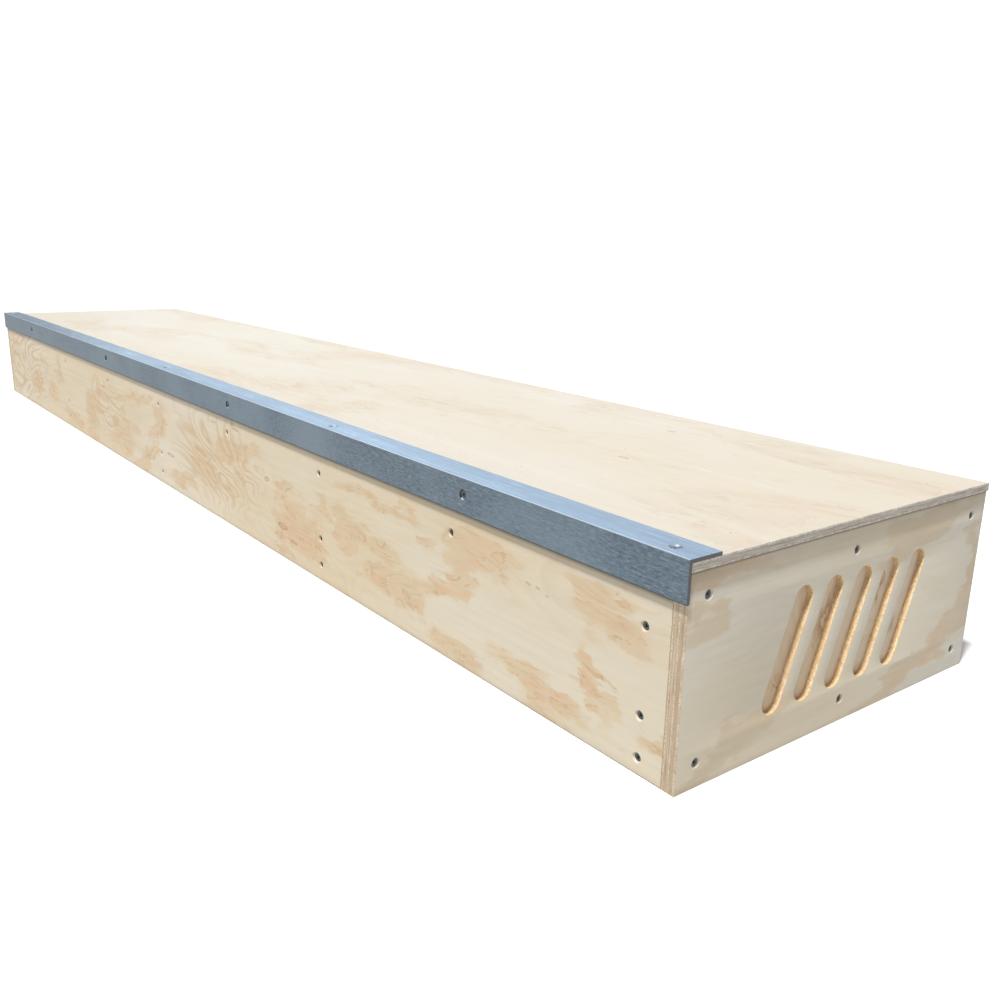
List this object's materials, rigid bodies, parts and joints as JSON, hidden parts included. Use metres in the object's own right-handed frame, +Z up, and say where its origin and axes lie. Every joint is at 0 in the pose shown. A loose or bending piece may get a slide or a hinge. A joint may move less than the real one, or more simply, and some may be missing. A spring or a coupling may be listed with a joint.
{
  "type": "skate ledge",
  "caption": "Long low plywood ledge with a steel angle along one top edge, screwed over lumber cross members, open underneath.",
  "frame": {"origin": "middle of the bounding box, on the ground", "axes": "+X along the box towards the routed end, -Y towards the front side with the steel edge, +Z up"},
  "size_m": [2.4384, 0.4604, 0.2099],
  "materials": {
    "deck_plywood": "sanded softwood plywood, unfinished",
    "side_plywood": "sanded rotary-cut softwood plywood, unfinished",
    "end_plywood": "sanded rotary-cut softwood plywood, unfinished",
    "lumber": "planed softwood lumber",
    "edge_steel": "bare hot-rolled steel, lightly brushed along its length",
    "zinc_screws": "dull zinc plate",
    "brads": "bright wire"
  },
  "bodies": {
    "root": {"deck_sheet": "deck_plywood", "front_side_panel": "side_plywood", "back_side_panel": "side_plywood", "routed_end_panel": "end_plywood", "plain_end_panel": "end_plywood", "top_joist_1": "lumber", "top_joist_2": "lumber", "top_joist_3": "lumber", "top_joist_4": "lumber", "top_joist_5": "lumber", "top_joist_6": "lumber", "top_joist_7": "lumber", "top_joist_8": "lumber", "top_joist_9": "lumber", "bottom_joist_1": "lumber", "bottom_joist_2": "lumber", "bottom_joist_3": "lumber", "bottom_joist_4": "lumber", "bottom_joist_5": "lumber", "steel_edge_angle": "edge_steel", "front_panel_screws": "zinc_screws", "back_panel_screws": "zinc_screws", "routed_end_screws": "zinc_screws", "plain_end_screws": "zinc_screws", "angle_side_screws": "zinc_screws", "angle_top_screws": "zinc_screws", "deck_brads": "brads"}
  },
  "joints": []
}
